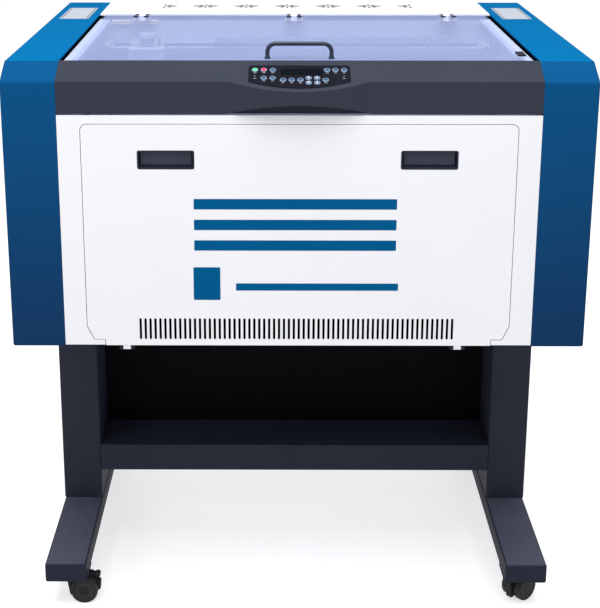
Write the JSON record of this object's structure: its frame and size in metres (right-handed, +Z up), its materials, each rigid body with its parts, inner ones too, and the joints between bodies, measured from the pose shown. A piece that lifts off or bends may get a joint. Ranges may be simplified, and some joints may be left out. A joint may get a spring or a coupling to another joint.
{
  "type": "laser cutter",
  "caption": "Flatbed laser cutter on a wheeled stand, with a hinged window lid, a drop-down front door, a moving gantry and head, a lift table and a bowed control panel.",
  "frame": {"origin": "on the floor, under the middle of the machine's overall box", "axes": "+Z up, -Y towards the person at the front, +X to that person's right"},
  "size_m": [0.927, 0.838, 1.03],
  "materials": {
    "cover_blue": "satin powder coat, strong blue",
    "case_white": "smooth powder coat, white",
    "inner_panels": "pale grey powder coat",
    "fascia_dark": "fine grained moulding, dark slate grey",
    "keypad_black": "black membrane overlay",
    "display_glass": "dark display window",
    "key_green": "domed key",
    "key_red": "domed key",
    "key_blue": "domed key",
    "key_grey": "domed key",
    "key_white": "domed key",
    "lid_glass": "clear acrylic with a faint blue tint",
    "handle_dark": "satin dark coat",
    "leaf_steel": "plain",
    "hinge_black": "black",
    "cup_black": "moulded",
    "bare_aluminium": "extruded, clear anodised",
    "grid_aluminium": "foil honeycomb",
    "rail_steel": "ground steel",
    "head_black": "black cover",
    "duct_steel": "galvanised sheet",
    "socket_black": "moulded",
    "switch_red": "rocker",
    "box_grey": "zinc plated case",
    "stand_dark": "fine textured powder coat, charcoal",
    "caster_black": "moulded",
    "wheel_rubber": "twin tread"
  },
  "bodies": {
    "root": {"chassis_tub": "inner_panels", "front_frame": "case_white", "rear_panel": "case_white", "rear_deck": "case_white", "control_fascia": "fascia_dark", "keypad_plate": "keypad_black", "display_window": "display_glass", "left_side_cover": "cover_blue", "right_side_cover": "cover_blue", "laser_tube": "bare_aluminium", "y_rails": "rail_steel", "hinge_bases": "hinge_black", "exhaust_collar": "duct_steel", "power_inlet": "socket_black", "electronics_box": "box_grey", "stand_legs": "stand_dark", "stand_feet": "stand_dark", "storage_shelf": "stand_dark"},
    "lid": {"lid_window": "lid_glass", "lid_handle": "handle_dark", "lid_hinge_leaves": "leaf_steel"},
    "door": {"door_panel": "case_white", "door_pull_cups": "cup_black"},
    "left_latch": {"left_latch": "cup_black"},
    "right_latch": {"right_latch": "cup_black"},
    "gantry": {"gantry_beam": "bare_aluminium"},
    "head": {"laser_head": "head_black"},
    "table": {"table_frame": "bare_aluminium", "honeycomb_grid": "grid_aluminium"},
    "screw_1": {"lead_screw_1": "rail_steel"},
    "screw_2": {"lead_screw_2": "rail_steel"},
    "screw_3": {"lead_screw_3": "rail_steel"},
    "switch": {"power_switch": "switch_red"},
    "key_go": {"key_go": "key_green"},
    "key_stop": {"key_stop": "key_red"},
    "key_reset": {"key_reset": "key_blue"},
    "key_speed": {"key_speed": "key_grey"},
    "key_power": {"key_power": "key_grey"},
    "key_focus": {"key_focus": "key_grey"},
    "key_pointer": {"key_pointer": "key_blue"},
    "key_job": {"key_job": "key_blue"},
    "key_menu": {"key_menu": "key_blue"},
    "key_mode": {"key_mode": "key_blue"},
    "key_jog": {"key_jog": "key_blue"},
    "key_enter": {"key_enter": "key_blue"},
    "key_left": {"key_left": "key_white"},
    "key_up": {"key_up": "key_white"},
    "key_right": {"key_right": "key_white"},
    "key_down": {"key_down": "key_white"},
    "fork_front_left": {"caster_fork_front_left": "caster_black"},
    "wheel_front_left": {"caster_wheel_front_left": "wheel_rubber"},
    "brake_front_left": {"caster_brake_front_left": "caster_black"},
    "fork_front_right": {"caster_fork_front_right": "caster_black"},
    "wheel_front_right": {"caster_wheel_front_right": "wheel_rubber"},
    "brake_front_right": {"caster_brake_front_right": "caster_black"},
    "fork_rear_left": {"caster_fork_rear_left": "caster_black"},
    "wheel_rear_left": {"caster_wheel_rear_left": "wheel_rubber"},
    "fork_rear_right": {"caster_fork_rear_right": "caster_black"},
    "wheel_rear_right": {"caster_wheel_rear_right": "wheel_rubber"}
  },
  "joints": [
    {"name": "lid_hinge", "type": "hinge", "parent": "root", "child": "lid", "pos_m": [0, 0.2035, 1.0005], "axis": [-1, 0, 0], "range_deg": [0, 80]},
    {"name": "door_hinge", "type": "hinge", "parent": "root", "child": "door", "pos_m": [0, -0.391, 0.541], "axis": [1, 0, 0], "range_deg": [0, 90]},
    {"name": "left_latch_pull", "type": "hinge", "parent": "door", "child": "left_latch", "pos_m": [-0.2088, -0.386, 0.8665], "axis": [-1, 0, 0], "range_deg": [0, 20], "stiffness_Nm_per_rad": 0.05},
    {"name": "right_latch_pull", "type": "hinge", "parent": "door", "child": "right_latch", "pos_m": [0.2043, -0.386, 0.8665], "axis": [-1, 0, 0], "range_deg": [0, 20], "stiffness_Nm_per_rad": 0.05},
    {"name": "gantry_travel", "type": "slide", "parent": "root", "child": "gantry", "axis": [0, 1, 0], "range_m": [-0.345, 0.112]},
    {"name": "head_travel", "type": "slide", "parent": "gantry", "child": "head", "axis": [1, 0, 0], "range_m": [-0.035, 0.575]},
    {"name": "table_lift", "type": "slide", "parent": "root", "child": "table", "axis": [0, 0, 1], "range_m": [-0.18, 0.095]},
    {"name": "screw_1_turn", "type": "hinge", "parent": "root", "child": "screw_1", "pos_m": [-0.35, -0.25, 0.7], "axis": [0, 0, 1], "continuous": true},
    {"name": "screw_2_turn", "type": "hinge", "parent": "root", "child": "screw_2", "pos_m": [-0.35, 0.12, 0.7], "axis": [0, 0, 1], "continuous": true},
    {"name": "screw_3_turn", "type": "hinge", "parent": "root", "child": "screw_3", "pos_m": [0.35, -0.065, 0.7], "axis": [0, 0, 1], "continuous": true},
    {"name": "power_rocker", "type": "hinge", "parent": "root", "child": "switch", "pos_m": [0.243, 0.393, 0.6], "axis": [1, 0, 0], "range_deg": [-16, 0]},
    {"name": "key_go_press", "type": "slide", "parent": "root", "child": "key_go", "axis": [0, 0.4256, -0.9049], "range_m": [0, 0.0006], "stiffness_N_per_m": 300},
    {"name": "key_stop_press", "type": "slide", "parent": "root", "child": "key_stop", "axis": [0, 0.4256, -0.9049], "range_m": [0, 0.0006], "stiffness_N_per_m": 300},
    {"name": "key_reset_press", "type": "slide", "parent": "root", "child": "key_reset", "axis": [0, 0.4256, -0.9049], "range_m": [0, 0.0006], "stiffness_N_per_m": 300},
    {"name": "key_speed_press", "type": "slide", "parent": "root", "child": "key_speed", "axis": [0, 0.4256, -0.9049], "range_m": [0, 0.0006], "stiffness_N_per_m": 300},
    {"name": "key_power_press", "type": "slide", "parent": "root", "child": "key_power", "axis": [0, 0.4256, -0.9049], "range_m": [0, 0.0006], "stiffness_N_per_m": 300},
    {"name": "key_focus_press", "type": "slide", "parent": "root", "child": "key_focus", "axis": [0, 0.4256, -0.9049], "range_m": [0, 0.0006], "stiffness_N_per_m": 300},
    {"name": "key_pointer_press", "type": "slide", "parent": "root", "child": "key_pointer", "axis": [0, 0.4256, -0.9049], "range_m": [0, 0.0006], "stiffness_N_per_m": 300},
    {"name": "key_job_press", "type": "slide", "parent": "root", "child": "key_job", "axis": [0, 0.4256, -0.9049], "range_m": [0, 0.0006], "stiffness_N_per_m": 300},
    {"name": "key_menu_press", "type": "slide", "parent": "root", "child": "key_menu", "axis": [0, 0.4256, -0.9049], "range_m": [0, 0.0006], "stiffness_N_per_m": 300},
    {"name": "key_mode_press", "type": "slide", "parent": "root", "child": "key_mode", "axis": [0, 0.4256, -0.9049], "range_m": [0, 0.0006], "stiffness_N_per_m": 300},
    {"name": "key_jog_press", "type": "slide", "parent": "root", "child": "key_jog", "axis": [0, 0.4256, -0.9049], "range_m": [0, 0.0006], "stiffness_N_per_m": 300},
    {"name": "key_enter_press", "type": "slide", "parent": "root", "child": "key_enter", "axis": [0, 0.4256, -0.9049], "range_m": [0, 0.0006], "stiffness_N_per_m": 300},
    {"name": "key_left_press", "type": "slide", "parent": "root", "child": "key_left", "axis": [0, 0.4256, -0.9049], "range_m": [0, 0.0006], "stiffness_N_per_m": 300},
    {"name": "key_up_press", "type": "slide", "parent": "root", "child": "key_up", "axis": [0, 0.4256, -0.9049], "range_m": [0, 0.0006], "stiffness_N_per_m": 300},
    {"name": "key_right_press", "type": "slide", "parent": "root", "child": "key_right", "axis": [0, 0.4256, -0.9049], "range_m": [0, 0.0006], "stiffness_N_per_m": 300},
    {"name": "key_down_press", "type": "slide", "parent": "root", "child": "key_down", "axis": [0, 0.4256, -0.9049], "range_m": [0, 0.0006], "stiffness_N_per_m": 300},
    {"name": "swivel_front_left", "type": "hinge", "parent": "root", "child": "fork_front_left", "pos_m": [-0.398, -0.254, 0.05], "axis": [0, 0, 1], "continuous": true},
    {"name": "roll_front_left", "type": "hinge", "parent": "fork_front_left", "child": "wheel_front_left", "pos_m": [-0.383, -0.254, 0.0245], "axis": [0, 1, 0], "continuous": true},
    {"name": "brake_pedal_front_left", "type": "hinge", "parent": "fork_front_left", "child": "brake_front_left", "pos_m": [-0.371, -0.254, 0.0505], "axis": [0, 1, 0], "range_deg": [0, 8], "stiffness_Nm_per_rad": 0.05},
    {"name": "swivel_front_right", "type": "hinge", "parent": "root", "child": "fork_front_right", "pos_m": [0.398, -0.254, 0.05], "axis": [0, 0, 1], "continuous": true},
    {"name": "roll_front_right", "type": "hinge", "parent": "fork_front_right", "child": "wheel_front_right", "pos_m": [0.40915, -0.24396, 0.0245], "axis": [-0.6691, 0.7431, 0], "continuous": true},
    {"name": "brake_pedal_front_right", "type": "hinge", "parent": "fork_front_right", "child": "brake_front_right", "pos_m": [0.41807, -0.23593, 0.0505], "axis": [-0.6691, 0.7431, 0], "range_deg": [0, 8], "stiffness_Nm_per_rad": 0.05},
    {"name": "swivel_rear_left", "type": "hinge", "parent": "root", "child": "fork_rear_left", "pos_m": [-0.398, 0.322, 0.05], "axis": [0, 0, 1], "continuous": true},
    {"name": "roll_rear_left", "type": "hinge", "parent": "fork_rear_left", "child": "wheel_rear_left", "pos_m": [-0.3844, 0.32834, 0.0245], "axis": [-0.4226, 0.9063, 0], "continuous": true},
    {"name": "swivel_rear_right", "type": "hinge", "parent": "root", "child": "fork_rear_right", "pos_m": [0.398, 0.322, 0.05], "axis": [0, 0, 1], "continuous": true},
    {"name": "roll_rear_right", "type": "hinge", "parent": "fork_rear_right", "child": "wheel_rear_right", "pos_m": [0.3844, 0.32834, 0.0245], "axis": [-0.4226, -0.9063, 0], "continuous": true}
  ],
  "couplings": [
    {"joint": "screw_1_turn", "follows": "table_lift", "rad_per_m": 1256.6},
    {"joint": "screw_2_turn", "follows": "table_lift", "rad_per_m": 1256.6},
    {"joint": "screw_3_turn", "follows": "table_lift", "rad_per_m": 1256.6}
  ]
}
